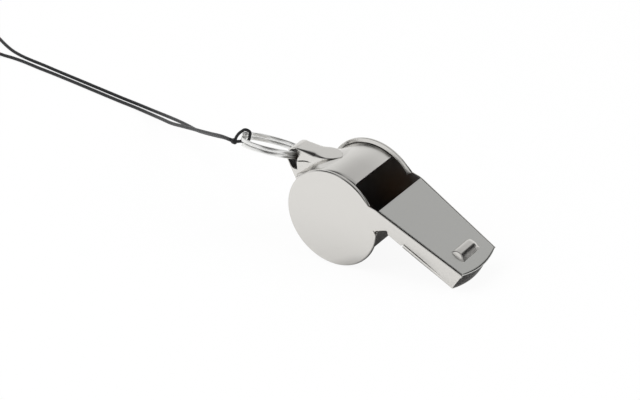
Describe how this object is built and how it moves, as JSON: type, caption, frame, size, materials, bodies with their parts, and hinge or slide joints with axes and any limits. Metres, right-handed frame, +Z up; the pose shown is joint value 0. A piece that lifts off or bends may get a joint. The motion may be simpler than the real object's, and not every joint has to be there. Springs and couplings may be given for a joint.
{
  "type": "pea whistle",
  "caption": "Plated sheet-metal pea whistle with a cork pea in a round chamber, a split ring in its lanyard loop and a thin neck cord.",
  "frame": {"origin": "on the floor under the middle of the box round the whistle and its ring, without the cord", "axes": "+Z up from the floor it rests on, +X towards the mouth, +Y across to the far side plate; the whistle rests on its rims and on the lower lip"},
  "size_m": [0.2036, 0.0636, 0.0236],
  "materials": {
    "plated_sheet": "polished plate, soft on the flat faces",
    "ring_wire": "polished spring wire",
    "cork": "raw cork",
    "cord": "matte braided cord"
  },
  "bodies": {
    "whistle": {"near_side_plate": "plated_sheet", "far_side_plate": "plated_sheet", "barrel_wrap": "plated_sheet", "mouthpiece_top": "plated_sheet", "mouthpiece_floor": "plated_sheet", "lanyard_loop": "plated_sheet", "lanyard_strand_far": "cord", "lanyard_strand_near": "cord", "lanyard_coil": "cord", "coil_tie": "cord"},
    "pea": {"cork_pea": "cork"},
    "ring": {"split_ring": "ring_wire", "lanyard_hitch": "cord"}
  },
  "joints": [
    {"name": "pea_orbit", "type": "hinge", "parent": "whistle", "child": "pea", "pos_m": [-0.00273, 0, 0.011], "axis": [0, 1, 0], "continuous": true},
    {"name": "ring_swing", "type": "hinge", "parent": "whistle", "child": "ring", "pos_m": [-0.01521, 0, 0.01912], "axis": [0.2002, -0.8874, 0.4152], "range_deg": [-30, 50], "deforming": ["lanyard_strand_far", "lanyard_strand_near"]}
  ]
}
